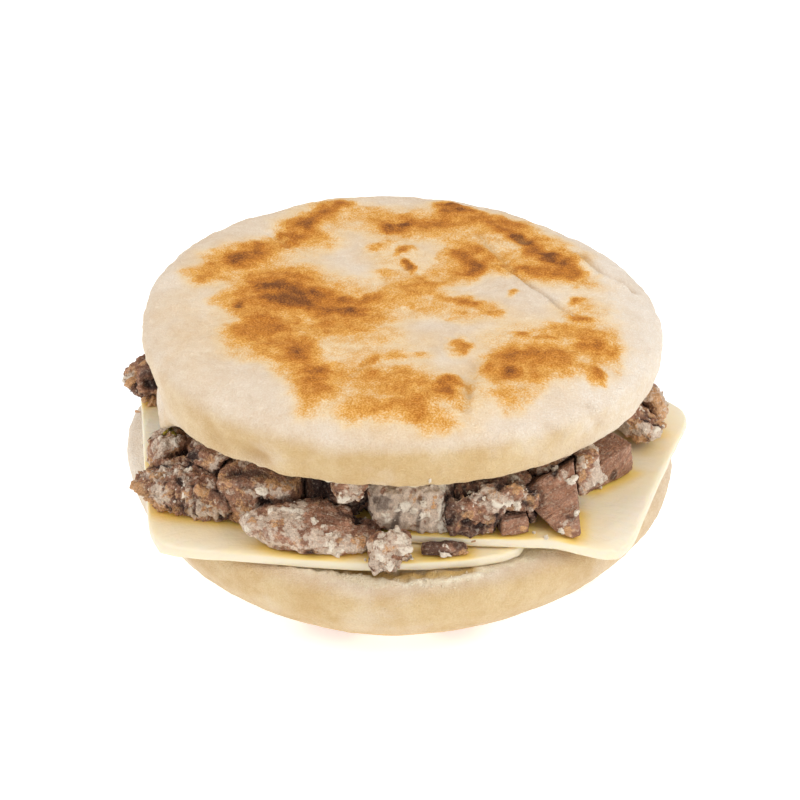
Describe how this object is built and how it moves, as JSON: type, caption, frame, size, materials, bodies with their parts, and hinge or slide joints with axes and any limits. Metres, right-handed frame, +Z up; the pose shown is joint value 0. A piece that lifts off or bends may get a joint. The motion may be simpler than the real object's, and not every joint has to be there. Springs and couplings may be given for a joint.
{
  "type": "meat-filled flatbread",
  "caption": "Round griddled flatbread split in two and filled with sliced cheese and chopped cooked meat that shows all round between the halves.",
  "frame": {"origin": "middle of the lower bread's flat underside, which the sandwich rests on", "axes": "+Z up through the bread, -Y towards the side where the filling spills out, +X to the right seen from there"},
  "size_m": [0.1347, 0.1281, 0.061],
  "materials": {
    "bread_crust": "dry floury crust with toasted patches",
    "cheese": "smooth, slightly waxy",
    "cooked_meat": "moist, fibrous, torn and cut",
    "meat_fat": "soft, greasy, torn"
  },
  "bodies": {
    "root": {"bread_lower": "bread_crust", "bread_upper": "bread_crust", "cheese_slice_lower": "cheese", "cheese_slice_upper": "cheese", "meat_heap": "cooked_meat", "meat_chunk_left_back": "cooked_meat", "meat_chunk_left": "cooked_meat", "meat_chunk_left_front": "cooked_meat", "meat_block_left": "cooked_meat", "meat_slab_front": "cooked_meat", "meat_chunk_inner": "cooked_meat", "meat_nub_front": "cooked_meat", "meat_chunk_gristle": "cooked_meat", "meat_block_front": "cooked_meat", "meat_chunk_front": "cooked_meat", "meat_wedge_right": "cooked_meat", "meat_crumbly_right": "cooked_meat", "meat_block_right": "cooked_meat", "meat_slab_right_back": "cooked_meat", "meat_chunk_right_back": "cooked_meat", "meat_chunk_left_inner": "cooked_meat", "meat_shred": "cooked_meat", "meat_chunk_back_1": "cooked_meat", "meat_chunk_back_2": "cooked_meat", "meat_chunk_back_3": "cooked_meat", "meat_chunk_back_4": "cooked_meat", "meat_chunk_back_5": "cooked_meat", "meat_chunk_back_6": "cooked_meat", "meat_chunk_back_7": "cooked_meat", "fat_scrap": "meat_fat"}
  },
  "joints": []
}
